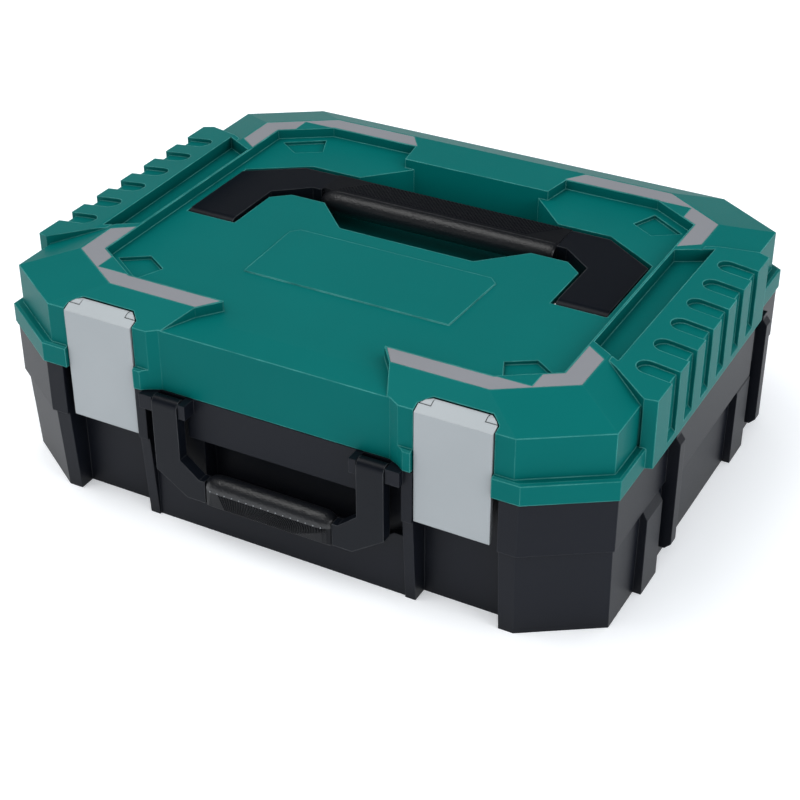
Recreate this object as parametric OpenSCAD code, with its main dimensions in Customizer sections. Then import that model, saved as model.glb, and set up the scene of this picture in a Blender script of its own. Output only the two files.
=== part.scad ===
// Socket wrench set in a two-part moulded case with folding handles and two latches.
// Millimetres, +Z up, front towards -Y, origin on the floor below the middle of the case.

/* [Case] */
// Width across the corner pods of the lid
case_w = 420; // [412:1:440]
// Depth across the corner pods of the lid
case_d = 342; // [336:1:356]
// Height of the parting line above the floor
parting_z = 99; // [97:0.5:110]
// Height of the lid above the parting line
lid_h = 51; // [50:0.5:60]
// Thickness of the moulded walls
wall = 3; // [2.4:0.1:3.2]
// Length of each corner chamfer along the width
corner_x = 48; // [42:1:52]
// Length of each corner chamfer along the depth
corner_y = 32; // [28:1:36]
// Gap between base and lid at the parting line
parting_gap = 0.3; // [0.3:0.1:0.6]
// Play between neighbouring pieces that move
play = 0.5; // [0.4:0.1:0.8]
// Radial play of a pin in the piece that turns on it
pin_play = 0.05; // [0.03:0.01:0.09]

/* [Base] */
// Height of the thicker band below the parting line
band_h = 37; // [30:1:45]
// How far the band stands out past the pods, sideways
band_x = 4.3; // [3.5:0.1:5]
// How far the band stands out past the pods, to front and back
band_y = 2.3; // [1.5:0.1:3]
// Step from the band in to the lower wall
band_step = 1.8; // [1:0.1:2.4]
// Inward lean of the front and back walls over the lower wall
draft_y = 4; // [2:0.5:5]
// Inward lean of the end walls over the lower wall
draft_x = 0.5; // [0.2:0.1:1.5]
// Width of the shelf inside the mouth
shelf_w = 9; // [8:0.5:10]
// Height of the sealing tongue on the shelf
tongue_h = 3; // [2:0.5:4]
// Thickness of the sealing tongue
tongue_t = 2; // [1.6:0.1:2.4]
// Thickness of the lugs outside the front handle's legs
front_lug_t = 8.5; // [7:0.5:9]
// Depth of the front handle bay behind the pods
bay_depth = 11; // [10:0.5:12]
// Depth of the apron under the front handle behind the pods
apron_in = 5; // [4:0.1:6]
// Gap between the apron and the front handle
apron_gap = 1; // [0.6:0.1:1.5]
// Half width of the finger pocket in the bay
hand_half = 57; // [52:1:58]
// Depth of the finger pocket behind the pods
hand_depth = 23; // [20:1:26]
// Height of the panel between the handle legs
bay_panel_h = 29; // [24:1:32]
// Depth of the latch bays behind the pods
latch_bay_depth = 15; // [14:0.5:17]
// Room outside a latch in its bay
latch_bay_side = 5.5; // [4:0.5:7]
// How far the band stands out under the rib blocks
side_band_out = 9; // [8:0.5:10]
// How far the feet of the side walls stand out past the pods
side_foot_out = 7.5; // [6:0.5:8.5]
// Length of a side foot
side_foot_l = 25; // [20:1:27]
// Front end of the front side feet
side_foot_y = -97; // [-99:1:-95]
// Distance between the front and the back side feet
side_foot_pitch = 162; // [158:1:164]
// Gap between a side foot and the fin behind it
side_gap = 11; // [9:1:12]
// Thickness of the fins
fin_t = 8; // [6:0.5:9]
// How far the fins stand out past the pods
fin_out = 12; // [11:0.5:12]
// Height of the fins' lower end
fin_z = 12; // [8:1:16]
// Depth of the relief under the floor
foot_relief = 1.5; // [1:0.1:2]

/* [Lid] */
// How far the lower lip stands out sideways
lip_x = 5.5; // [5.4:0.1:7]
// How far the lower lip stands out to front and back
lip_y = 3.5; // [3.4:0.1:4.5]
// Height of the lower lip
lip_h = 14.5; // [12:0.5:18]
// Height of the sloped shoulder below the top
shoulder_h = 9; // [8:0.5:11]
// Inset of the raised rim sideways
rim_in_x = 32; // [31:0.5:34]
// Inset of the raised rim from front and back
rim_in_y = 26; // [24:0.5:27]
// Width of the raised rim
rim_w = 15.5; // [14:0.5:16]
// Depth of the top panel below the rim
panel_depth = 7; // [6:0.5:8]
// Half width of the gap in the rim at the front
tongue_half = 57; // [52:1:60]
// Depth of the front middle panel behind the pods
front_in = 3.5; // [3:0.5:4]
// Half width of the front middle panel
front_half = 80.5; // [78:0.5:82]
// Depth of the side channels below the rim
channel_depth = 9; // [8:0.5:10]
// Width of a side channel
channel_w = 23; // [20:0.5:24]
// How far the rib blocks stand out past the pods
block_out = 10; // [9:0.5:10]
// Front end of the rib blocks
block_y0 = -104; // [-106:1:-100]
// Back end of the rib blocks
block_y1 = 93; // [90:1:96]
// Number of slots in a rib block
slot_count = 6; // [4:1:6]
// Pitch of the slots
slot_pitch = 28; // [26:0.5:28]
// Width of a slot
slot_w = 14; // [10:0.5:16]
// Depth of a slot
slot_d = 3; // [2:0.5:3.5]
// Length of a slot on top, up to the middle of its round end
slot_l = 18; // [16:0.5:19]
// Fall of a rib block's top to its outer edge
block_fall = 4; // [3:0.5:5]
// Thickness of the grey corner stripes
stripe_t = 1.2; // [1:0.1:1.6]
// Gap around a stripe in its groove
stripe_gap = 0.15; // [0.1:0.05:0.3]
// Height of the bare pad on the top panel
pad_h = 0.8; // [0.5:0.1:1.5]

/* [Latches] */
// Distance of each latch from the middle
latch_x = 123.5; // [122:0.5:125]
// Width of a latch
latch_w = 50; // [46:0.5:51]
// Thickness of the latch plate
latch_t = 3.5; // [3:0.1:4]
// How far a latch stands in front of the pods
latch_out = 1; // [0.5:0.1:1.5]
// Length of a latch below the parting line
latch_drop = 35.5; // [30:0.5:40]
// Distance of the latch hinge behind the pods
latch_hinge_in = 9.5; // [9:0.1:11]
// Radius of the latch knuckle
latch_knuckle_r = 3.6; // [3.4:0.1:4]
// Radius of the latch pin
latch_pin_r = 1.5; // [1.2:0.1:1.8]
// Chamfer of the latch's upper rear corners
latch_chamfer = 8; // [6:0.5:9]
// Gap around a latch in the lid
latch_gap = 0.9; // [0.7:0.1:1.2]
// Reach of the latch hook behind the plate
hook_reach = 7; // [6:0.5:8]
// Height of the latch hook
hook_h = 5; // [4:0.5:7]

/* [Top handle] */
// Panel left outside the handle recess on each side
recess_side = 7; // [6:0.5:9]
// Thickness of the handle frame
handle_t = 12.5; // [11.5:0.5:13]
// Width of a handle leg
leg_w = 35; // [32:1:36]
// Distance of the handle's back edge from its pivot
handle_reach = 90; // [86:1:92]
// Pivot of the handle in front of the case's middle
pivot_in = 18; // [16:1:20]
// Half length of the grip
grip_half = 90; // [84:1:92]
// Depth of the grip from front to back
grip_d = 34; // [30:1:36]
// Thickness of the grip
grip_t = 17; // [15:0.5:18]
// Radius of the handle pivot pins
handle_pin_r = 2.5; // [2:0.1:2.8]
// Gap between handle and recess
recess_gap = 0.6; // [0.5:0.1:0.8]
// Depth of the finger pocket below the rim
finger_depth = 35; // [32:1:36]

/* [Front handle] */
// Outer half width of the front handle
front_handle_half = 82; // [80:0.5:82]
// Width of a front handle leg
front_leg_w = 18.5; // [17:0.5:19]
// Thickness of the front handle legs
front_leg_t = 8; // [7:0.5:8]
// Pivot of the front handle below the parting line
front_pivot_drop = 4.5; // [4:0.5:7]
// Pivot of the front handle in front of the pods
front_pivot_out = 2.5; // [2.5:0.1:3.5]
// Radius of the front handle's pivot barrels
front_barrel_r = 5; // [4.6:0.1:5]
// Height of the front handle's lower edge
front_grip_z = 30; // [27:1:32]
// Height of the front grip
front_grip_h = 21; // [20:0.5:22]
// Height of the legs' lower corners above the handle's lower edge
front_bend_h = 16; // [14:1:18]
// Width of the slanted stretch below a leg
front_bend_w = 22; // [18:1:24]
// Thickness of the ears inside the front handle's legs
front_ear_t = 5; // [4.5:0.5:6]
// Thickness of the front grip
front_grip_t = 16; // [14:0.5:16]
// Half length of the front grip
front_grip_half = 46; // [42:1:48]
// Radius of the front handle pins
front_pin_r = 2; // [1.8:0.1:2.2]

/* [Rear hinges] */
// Distance of each hinge from the middle
hinge_x = 105; // [95:1:120]
// Length of the lid knuckle
hinge_knuckle = 24; // [20:1:30]
// Length of each base knuckle
hinge_side = 12; // [10:1:14]
// Hinge axis behind the pods
hinge_out = 5.5; // [5.5:0.1:6]
// Radius of the knuckles
hinge_r = 5.5; // [5:0.1:5.6]
// Radius of the hinge pins
hinge_pin_r = 2; // [1.8:0.1:2.4]

/* [Tray and tools] */
// Height of the tray's top
tray_top = 75; // [72:0.5:80]
// Thickness of the tray's moulding
tray_t = 2; // [1.6:0.1:2.4]
// Gap around a tool in its pocket
tool_gap = 1; // [0.8:0.1:1.4]
// Gap between the tray and the case
tray_gap = 1.5; // [1:0.1:2]
// Front edge of the tray behind the pods
tray_front = 29; // [28:0.5:31]
// Height of the standard sockets
socket_h = 38; // [34:1:40]
// Height of the deep sockets
deep_h = 72; // [66:1:74]
// How far the tools stand out of the tray
tool_proud = 18; // [14:0.5:19]
// Gap between neighbouring sockets
socket_gap = 9; // [8:0.5:10]
// Side of the square drive
drive = 12.7; // [12.5:0.1:12.9]
// Depth of the square drive holes
drive_depth = 15; // [14:0.5:16]
// Length of the ratchet's shank and grip
ratchet_l = 245; // [230:1:250]
// Radius of the ratchet head
ratchet_r = 18; // [17:0.5:19]
// Thickness of the ratchet head
ratchet_t = 20; // [19:0.5:21]
// Radius of the ratchet grip
ratchet_grip_r = 12; // [11:0.5:13]
// Number of teeth on the ratchet gear
gear_teeth = 24; // [18:1:30]
// Length of the long extension bar
long_bar = 240; // [220:1:245]
// Length of the short extension bar
short_bar = 112; // [100:1:114]
// Radius of the extension bars
bar_r = 6.5; // [6:0.1:7]
// Length of the sliding T-bar
tee_l = 240; // [220:1:245]
// Radius of the sliding T-bar
tee_r = 5.5; // [5:0.1:5.8]
// Travel of the sliding head to each side
tee_travel = 90; // [60:1:95]
// Length of the screwdriver-style spinner
spinner_l = 145; // [130:1:150]
// Radius of the spinner's grip
spinner_r = 14; // [12:0.5:15]

/* [Hidden] */
lid_green = "#00706a";
black = "#24272b";
stripe_grey = "#96989e";
latch_grey = "#bcc1c4";
steel = "#c8ccd0";
grip_green = "#1f7d6d";

hw = case_w / 2;
hd = case_d / 2;
top_z = parting_z + lid_h;
shoulder_z = top_z - shoulder_h;
panel_z = top_z - panel_depth;
base_top = parting_z - parting_gap;
front_y = -hd;
rim_cx = corner_x - 3;
rim_cy = rim_cx * corner_y / corner_x;
far = 300;

// latch
latch_py = front_y + latch_hinge_in;
latch_pz = top_z - shoulder_h + 0.3;
latch_front = front_y - latch_out;
latch_back = latch_front + latch_t;
latch_low = parting_z - latch_drop;
latch_rear = latch_py + latch_knuckle_r;
latch_knuckle = latch_w / 2 - latch_chamfer;
latch_pin_l = latch_w - 2;
bracket_h = 8;
latch_bay_in = latch_x - latch_w / 2 - play;
latch_bay_out = latch_x + latch_w / 2 + latch_bay_side;
flange_z = base_top - wall;

// top handle and its recess
recess_x = hw - rim_in_x - rim_w - recess_side;
handle_x = recess_x - recess_gap;
leg_in = handle_x - leg_w;
pivot_y = -pivot_in;
handle_top = panel_z + 1;
handle_r = handle_t / 2;
pivot_z = handle_top - handle_r;
recess_z = handle_top - handle_t - 2 * recess_gap;
finger_z = top_z - finger_depth;
handle_back = pivot_y + handle_reach;
grip_y = handle_back - grip_d / 2 + 1;
grip_z = handle_top - grip_t / 2 + 0.8;
pin_seat = 4;

// front handle
front_py = front_y - front_pivot_out;
front_pz = parting_z - front_pivot_drop;
front_leg_in = front_handle_half - front_leg_w;
front_grip_y = front_py;
front_grip_mid = front_grip_z + front_grip_h / 2;
front_pin_in = 4;
front_pin_out = 5;
front_pin_l = front_leg_w + front_pin_out + front_pin_in;
front_pin_x = (front_leg_in - front_pin_in + front_handle_half + front_pin_out) / 2;
bay_half = front_handle_half + play + front_lug_t;

// rear hinge
hinge_y = hd + hinge_out;
hinge_z = parting_z;

// side walls and rib blocks
channel_x0 = hw - rim_in_x - rim_w + 1.5;
block_in = channel_x0 + channel_w;
block_slope = block_fall / (hw + block_out - block_in);
band_low = base_top - band_h;
side_feet = [side_foot_y, side_foot_y + side_foot_pitch];
side_band_y0 = side_foot_y + side_foot_l + side_gap;
side_band_y1 = side_foot_y + side_foot_pitch + side_foot_l;
hand_z = front_grip_z - apron_gap;

// tray and tools
tray_in = shelf_w + tray_gap;
tool_z = tray_top + tool_proud;
socket_sizes = [[10, 11, 12, 13, 14, 15, 16, 17], [19, 21, 24, 27, 30, 32]];
row_y = [-119, -79];
row_x0 = -186;
deep_sizes = [14, 17, 19, 22];
deep_y = 122;
deep_x0 = 20;
ratchet_x = -164;
ratchet_y = -33;
ratchet_top = tray_top + 3;
ratchet_mid = ratchet_top - ratchet_t / 2;
gear_r = 10.6;
gear_h = 12;
tee_y = 6;
tee_x = -60;
long_y = 36;
long_x0 = -188;
short_y = 6;
short_x0 = 78;
bar_z = tray_top - 1;
spinner_x0 = -188;
spinner_y = 74;

function socket_d(af) = af * 1.32 + 4.5;
function run_x(list, i, x0) = i == 0 ? x0 + socket_d(list[0]) / 2
    : run_x(list, i - 1, x0) + (socket_d(list[i - 1]) + socket_d(list[i])) / 2 + socket_gap;

// Rectangle with four corner chamfers, moved in by t on every side.
function octagon_points(hx, hy, cx, cy, t = 0) =
    let (l = sqrt(cx * cx + cy * cy),
        x = hx - t, y = hy - t,
        a = cx - t * (cy - l + cx) / cy,
        b = cy - t * (cx - l + cy) / cx)
    [[x, -y + b], [x, y - b], [x - a, y], [-x + a, y], [-x, y - b], [-x, -y + b], [-x + a, -y], [x - a, -y]];
function case_points(gx, gy, t = 0) = octagon_points(hw + gx, hd + gy, corner_x, corner_y, t);
function rim_points(t) = octagon_points(hw - rim_in_x, hd - rim_in_y, rim_cx, rim_cy, t);

// Outline drawn for the right half, closed with its mirror image.
function mirrored(p) = concat(p, [for (i = [len(p) - 1:-1:0]) [-p[i].x, p[i].y]]);

// Straight loft between two outlines with the same number of points.
module loft(a, za, b, zb) {
    n = len(a);
    polyhedron(
        points = concat([for (p = a) [p.x, p.y, za]], [for (p = b) [p.x, p.y, zb]]),
        faces = concat(
            [[for (i = [0:n - 1]) i]], [[for (i = [n - 1:-1:0]) n + i]],
            [for (i = [0:n - 1]) [i, n + i, n + (i + 1) % n, (i + 1) % n]]));
}
module slab(points, z0, z1) { translate([0, 0, z0]) linear_extrude(z1 - z0) polygon(points); }
module along_x(l, x = 0) { translate([x, 0, 0]) rotate([90, 0, 90]) linear_extrude(l, center = true) children(); }
module along_y(l, y = 0) { translate([0, y, 0]) rotate([90, 0, 0]) linear_extrude(l, center = true) children(); }
module rod_x(r, l, x, y, z) { translate([x, y, z]) rotate([0, 90, 0]) cylinder(r = r, h = l, center = true, $fn = 64); }
module box(x0, x1, y0, y1, z0, z1) { translate([x0, y0, z0]) cube([x1 - x0, y1 - y0, z1 - z0]); }

// ---- Latch ----
module latch_profile() {
    polygon([
        [latch_front, latch_low], [latch_front, latch_pz - 1],
        [latch_py - 1.4, latch_pz + latch_knuckle_r - 0.35], [latch_py, latch_pz],
        [latch_py, latch_pz - latch_knuckle_r], [latch_back, latch_pz - latch_knuckle_r - 0.5],
        [latch_back, latch_low]]);
    translate([latch_py, latch_pz]) circle(r = latch_knuckle_r, $fn = 48);
}
// Outline of latch and bracket together, with chamfered rear corners.
module latch_outline() {
    h = latch_w / 2;
    polygon(mirrored([[h, latch_front - 20], [h, latch_rear - latch_chamfer], [h - latch_chamfer, latch_rear]]));
}
// The latch itself: full width in front, then only the knuckle between the bracket's ears.
module latch_plan() {
    h = latch_w / 2;
    step = latch_py - latch_knuckle_r - 2 * play;
    polygon(mirrored([[h, latch_front - 20], [h, step], [latch_knuckle, step], [latch_knuckle, latch_rear]]));
}
module latch_bracket_profile() {
    polygon([[latch_py - latch_knuckle_r - 0.3, latch_pz - bracket_h],
        [latch_py - latch_knuckle_r - 0.3, latch_pz + 2], [latch_py - 1.4, latch_pz + latch_knuckle_r - 0.35],
        [latch_py + 1.8, latch_pz + latch_knuckle_r - 0.5], [latch_rear, latch_pz + 1.8],
        [latch_rear, latch_pz - bracket_h]]);
}
module latch_bracket() {
    color(latch_grey)
    difference() {
        intersection() {
            along_x(latch_w) latch_bracket_profile();
            linear_extrude(far) latch_outline();
        }
        box(-latch_knuckle - play, latch_knuckle + play, latch_py - 10, latch_py + 10,
            latch_pz - latch_knuckle_r - play, far);
        rod_x(latch_pin_r, latch_pin_l, 0, latch_py, latch_pz);
    }
}
module latch() {
    color(latch_grey)
    difference() {
        union() {
            intersection() {
                along_x(latch_w) latch_profile();
                translate([0, 0, latch_low]) linear_extrude(far) latch_plan();
            }
            // hook under the flange of the base
            box(-latch_w / 2 + 8, latch_w / 2 - 8, latch_back - 0.5, latch_back + hook_reach,
                flange_z - play - hook_h, flange_z - play);
        }
        rod_x(latch_pin_r + pin_play, latch_w, 0, latch_py, latch_pz);
        // thin edge along the finger end
        along_x(latch_w + 2) polygon([[latch_back + 1, latch_low - 1], [latch_back - 1.6, latch_low - 1],
            [latch_back - 1.6, latch_low], [latch_back, latch_low + 7], [latch_back + 1, latch_low + 7]]);
    }
}
module latch_pin() {
    color(steel) rod_x(latch_pin_r, latch_pin_l, 0, latch_py, latch_pz);
}

// ---- Lid ----
module back_tongue() { polygon(mirrored([[62, hd - rim_in_y], [56, hd - 64]])); }
module recess_plan() {
    polygon(mirrored([[50, 2], [78.5, 30.5], [leg_in - 15, 30.5], [leg_in - 3, 20],
        [leg_in - 3, pivot_y - handle_r - recess_gap], [recess_x, pivot_y - handle_r - recess_gap],
        [recess_x, handle_back - 21], [recess_x - 40, handle_back + 5.5]]));
}
module finger_plan() {
    polygon(mirrored([[50, 2], [78.5, 30.5], [grip_half + 4, 30.5], [grip_half + 4, handle_back + 5.5],
        [77, handle_back + 5.5], [49, hd - 64]]));
}
module channel_plan() {
    polygon([[channel_x0, -66], [block_in - 2, -80], [block_in, 80], [channel_x0, 67]]);
}
module corner_pocket_plan() {
    polygon([[122, -102], [139, -91], [156, -103], [130, -121]]);
}
module pad_plan() { polygon(mirrored([[71, -13.5], [76.5, -19], [74, -80]])); }
module grown(g) { offset(delta = g) children(); }

// Height of a rib block's top at x.
function block_top(x) = top_z - (x - block_in) * block_slope;
module rib_slot(g) {
    x0 = hw + block_out - slot_l;
    d = slot_d + g;
    w = slot_w + 2 * g;
    z1 = parting_z + 8 - g;
    along_y(w) polygon([
        [x0, block_top(x0) - d], [hw + block_out - d, block_top(hw + block_out - d) - d],
        [hw + block_out - d, z1], [hw + block_out + 1, z1 - d - 1], [hw + 40, z1 - d - 1],
        [hw + 40, far], [x0, far]]);
    translate([x0, 0, block_top(x0) - d]) cylinder(r = w / 2, h = far, $fn = 32);
}
// Everything cut into the lid from outside, grown by g so that the wall behind it stays even.
module lid_cuts(g) {
    translate([0, 0, panel_z - g]) linear_extrude(far) grown(g) union() {
        difference() { polygon(rim_points(rim_w)); back_tongue(); }
        polygon(mirrored([[tongue_half, front_y + rim_in_y + 20],
            [tongue_half, front_y + rim_in_y + rim_w - 1], [tongue_half + 11, front_y + rim_in_y]]));
    }
    // front tongue of the panel, falling slightly to the front edge
    intersection() {
        along_x(2 * far) grown(g) polygon([[front_y + rim_in_y + 0.1, panel_z],
            [front_y + rim_in_y + 0.1, far], [front_y - 20, far], [front_y - 20, panel_z - 2.2]]);
        linear_extrude(far) grown(g) polygon(mirrored([[tongue_half + 11, front_y + rim_in_y + 0.1],
            [front_half, front_y], [front_half, front_y - 9]]));
    }
    translate([0, 0, recess_z - g]) linear_extrude(far) grown(g) recess_plan();
    translate([0, 0, finger_z - g]) linear_extrude(far) grown(g) finger_plan();
    // set-back middle of the front wall
    translate([0, 0, parting_z - 1]) linear_extrude(far) grown(g) polygon(mirrored([
        [front_half, front_y + front_in], [front_half + 7, front_y],
        [front_half + 12, front_y - lip_y], [front_half + 12, front_y - 20]]));
    for (s = [-1, 1]) scale([s, 1, 1]) {
        translate([0, 0, top_z - channel_depth - g]) linear_extrude(far) grown(g) channel_plan();
        for (t = [-1, 1]) scale([1, t, 1])
            translate([0, 0, panel_z - 2.5 - g]) linear_extrude(far) grown(g) corner_pocket_plan();
        for (i = [0:slot_count - 1])
            translate([0, (block_y0 + block_y1) / 2 + (i - (slot_count - 1) / 2) * slot_pitch, 0]) rib_slot(g);
        // latch notch
        intersection() {
            along_x(2 * far) grown(latch_gap + g) union() {
                latch_profile();
                polygon([[front_y - 20, latch_low], [front_y - 20, top_z], [latch_front, latch_pz - 1],
                    [latch_front + 1, latch_low]]);
            }
            translate([latch_x, 0, parting_z - 1]) linear_extrude(far) grown(latch_gap + g) latch_outline();
        }
        // seat of the latch bracket
        intersection() {
            along_x(2 * far) grown(g) polygon([[latch_py - latch_knuckle_r - 1, latch_pz - bracket_h],
                [latch_py - latch_knuckle_r - 1, latch_pz], [latch_rear, latch_pz],
                [latch_rear, latch_pz - bracket_h]]);
            translate([latch_x, 0, 0]) linear_extrude(far) grown(g) latch_outline();
        }
    }
}
module block_plan() {
    polygon([[hw - 30, block_y0 + 22], [hw + 2, block_y0 - 3], [hw + block_out, block_y0],
        [hw + block_out, block_y1], [hw + 2, block_y1 + 2], [hw - 22, block_y1 - 8], [hw - 30, block_y1 - 12]]);
}
module lid_outer() {
    slab(case_points(0, 0), parting_z + parting_gap, shoulder_z);
    loft(case_points(0, 0), shoulder_z, rim_points(0), top_z);
    slab(case_points(lip_x, lip_y), parting_z + parting_gap, parting_z + lip_h - 1);
    loft(case_points(lip_x, lip_y), parting_z + lip_h - 1, case_points(lip_x - 1.5, lip_y - 1.5), parting_z + lip_h);
    for (s = [-1, 1]) scale([s, 1, 1]) intersection() {
        along_y(2 * far) polygon([[hw - 40, parting_z + parting_gap], [hw - 40, top_z], [block_in, top_z],
            [hw + block_out, block_top(hw + block_out)], [hw + block_out, parting_z + parting_gap]]);
        linear_extrude(far) block_plan();
    }
}
module lid_hollow() {
    slab(case_points(0, 0, wall), parting_z - 1, shoulder_z - wall / 2);
    loft(case_points(0, 0, wall), shoulder_z - wall / 2, rim_points(1), top_z - wall);
    for (s = [-1, 1]) scale([s, 1, 1]) {
        intersection() {
            along_y(2 * far) polygon([[hw - 60, parting_z + lip_h + 2], [hw - 60, top_z - wall],
                [block_in, top_z - wall], [hw + block_out - wall, block_top(hw + block_out - wall) - wall],
                [hw + block_out - wall, parting_z + lip_h + 2]]);
            linear_extrude(far) grown(-wall) block_plan();
        }
        // relief under the thick foot of the rib block
        box(hw + 1, hw + block_out - wall, block_y0 + wall, block_y1 - wall, parting_z - 1, parting_z + lip_h - 1);
    }
}
module stripe_plan(g = 0) {
    grown(-g) intersection() {
        difference() { polygon(rim_points(1)); polygon(rim_points(rim_w - 1)); }
        union() {
            polygon([[tongue_half + 1, front_y + rim_in_y + rim_w], [tongue_half + 12, front_y + rim_in_y],
                [tongue_half + 40, front_y], [hw, front_y], [hw, -60], [hw - rim_in_x - rim_w - 10, -60],
                [hw - rim_in_x - rim_w - 10, front_y + rim_in_y + rim_w]]);
        }
        polygon([[0, front_y], [hw, front_y], [hw, -105], [hw - rim_in_x, -83],
            [hw - rim_in_x - rim_w, -71.5], [0, -71.5]]);
    }
}
module stripe_seats(g) {
    for (s = [-1, 1], t = [-1, 1]) scale([s, t, 1])
        translate([0, 0, top_z - stripe_t]) linear_extrude(far) grown(g) stripe_plan(stripe_gap);
}
module lid_shell() {
    color(lid_green)
    difference() {
        union() {
            difference() {
                lid_outer();
                difference() { lid_hollow(); lid_cuts(wall); }
            }
            for (s = [-1, 1]) scale([s, 1, 1]) {
                // cheeks that carry the latch pin
                for (t = [-1, 1])
                    box(latch_x + t * latch_w / 2 - 8, latch_x + t * latch_w / 2 + 4,
                        latch_py - 4.5, latch_py + 4.5, latch_pz - 5, latch_pz + 1);
                // bosses that carry the handle pin
                box(leg_in - 3 - pin_seat - 2, leg_in, pivot_y - 8, pivot_y + 8, recess_z - wall, panel_z - 0.5);
                box(recess_x - 1, recess_x + pin_seat + 1.8, pivot_y - 8, pivot_y + 8, recess_z - wall, panel_z - 0.5);
                // rear knuckle
                rod_x(hinge_r, hinge_knuckle, hinge_x, hinge_y, hinge_z);
                along_x(hinge_knuckle, hinge_x) polygon([[hinge_y - hinge_r, hinge_z + parting_gap],
                    [hinge_y - hinge_r, parting_z + lip_h], [hd + 1, parting_z + lip_h],
                    [hinge_y + hinge_r - 0.2, hinge_z + 1], [hinge_y, hinge_z]]);
            }
            translate([0, 0, panel_z - 0.1]) linear_extrude(pad_h + 0.1) pad_plan();
        }
        lid_cuts_below_pad();
        for (s = [-1, 1]) scale([s, 1, 1]) {
            rod_x(latch_pin_r, latch_pin_l, latch_x, latch_py, latch_pz);
            rod_x(handle_pin_r, recess_x - leg_in + 3 + 2 * pin_seat, (recess_x + leg_in - 3) / 2, pivot_y, pivot_z);
            rod_x(hinge_pin_r + pin_play, hinge_knuckle + 2, hinge_x, hinge_y, hinge_z);
            for (t = [-1, 1])
                rod_x(hinge_r + play, hinge_side + 2 * play,
                    hinge_x + t * (hinge_knuckle + hinge_side + play) / 2, hinge_y, hinge_z);
        }
        stripe_seats(stripe_gap);
    }
}
// The outside cuts, with the bare pad left standing on the panel.
module lid_cuts_below_pad() {
    difference() {
        lid_cuts(0);
        translate([0, 0, panel_z - 0.2]) linear_extrude(pad_h + 0.2) pad_plan();
    }
}
module corner_stripe() {
    color(stripe_grey) translate([0, 0, top_z - stripe_t]) linear_extrude(stripe_t) stripe_plan(stripe_gap);
}

// ---- Top handle ----
module top_handle_plan() {
    polygon(mirrored([[grip_half + 7, handle_back - 26], [leg_in, handle_back - 45],
        [leg_in, pivot_y - handle_r], [handle_x, pivot_y - handle_r], [handle_x, handle_back - 27],
        [handle_x - 37, handle_back - 1]]));
}
module top_handle_side() {
    translate([pivot_y, pivot_z - handle_r]) square([handle_reach, handle_t]);
    translate([pivot_y, pivot_z]) circle(r = handle_r, $fn = 64);
}
module top_handle_frame() {
    color(black)
    difference() {
        intersection() {
            linear_extrude(far) top_handle_plan();
            along_x(2 * far) top_handle_side();
        }
        // reduced core inside the grip
        difference() {
            box(-grip_half, grip_half, grip_y - grip_d, grip_y + grip_d, pivot_z - far / 2, pivot_z + far / 2);
            box(-far, far, grip_y - 8, grip_y + 8, pivot_z - 4, pivot_z + 4);
        }
        for (s = [-1, 1]) rod_x(handle_pin_r + pin_play, leg_w + 2, s * (handle_x + leg_in) / 2, pivot_y, pivot_z);
    }
}
// Section of the grip: a thick rolled front edge and a flat strip behind it, level with the frame.
module top_grip_profile() {
    roll_y = grip_y - (grip_d - grip_t) / 2;
    back = grip_y + grip_d / 2;
    translate([roll_y, grip_z]) circle(r = grip_t / 2, $fn = 64);
    polygon([[roll_y, handle_top + 0.4], [back - 1.5, handle_top + 0.4], [back, handle_top - 1],
        [back, handle_top - handle_t + 3], [back - 3, handle_top - handle_t], [roll_y, handle_top - handle_t]]);
}
module top_handle_grip() {
    color(black)
    difference() {
        along_x(2 * grip_half - 0.2) top_grip_profile();
        box(-far, far, grip_y - 8, grip_y + 8, pivot_z - 4, pivot_z + 4);
    }
}
module top_handle_pin() {
    color(steel) rod_x(handle_pin_r, recess_x - leg_in + 3 + 2 * pin_seat, (recess_x + leg_in - 3) / 2, pivot_y, pivot_z);
}

// ---- Front handle ----
module front_handle_frame() {
    color(black)
    difference() {
        union() {
            intersection() {
                along_y(far, front_y) polygon(mirrored([
                    [front_grip_half + 4, front_grip_z + front_grip_h - 4],
                    [front_leg_in, front_grip_z + front_bend_h + 12], [front_leg_in, front_pz],
                    [front_handle_half, front_pz], [front_handle_half, front_grip_z + front_bend_h],
                    [front_handle_half - front_bend_w, front_grip_z + 1]]));
                box(-far, far, front_py - front_barrel_r, front_py - front_barrel_r + front_leg_t, 0, far);
            }
            for (s = [-1, 1]) rod_x(front_barrel_r, front_leg_w, s * (front_leg_in + front_handle_half) / 2,
                front_py, front_pz);
        }
        difference() {
            box(-front_grip_half, front_grip_half, front_y - far, 0, 0, front_grip_z + front_grip_h + 20);
            box(-far, far, front_grip_y - 3, front_grip_y + 3, front_grip_mid - 5, front_grip_mid + 5);
        }
        for (s = [-1, 1]) rod_x(front_pin_r + pin_play, front_leg_w + 2,
            s * (front_leg_in + front_handle_half) / 2, front_py, front_pz);
    }
}
// Section of the grip: round on top, with a tapered lower half.
module front_grip_profile() {
    r = front_grip_t / 2;
    mid = front_grip_z + front_grip_h - r;
    translate([front_grip_y, mid]) circle(r = r, $fn = 64);
    polygon([[front_grip_y - r, mid], [front_grip_y - r + 2, front_grip_z + 1], [front_grip_y - r + 3, front_grip_z],
        [front_grip_y + r - 4, front_grip_z], [front_grip_y + r, mid]]);
}
module front_handle_grip() {
    color(black)
    difference() {
        along_x(2 * front_grip_half - 0.2) front_grip_profile();
        box(-far, far, front_grip_y - 3, front_grip_y + 3, front_grip_mid - 5, front_grip_mid + 5);
    }
}
module front_handle_pin() {
    color(steel) rod_x(front_pin_r, front_pin_l, front_pin_x, front_py, front_pz);
}

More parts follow.
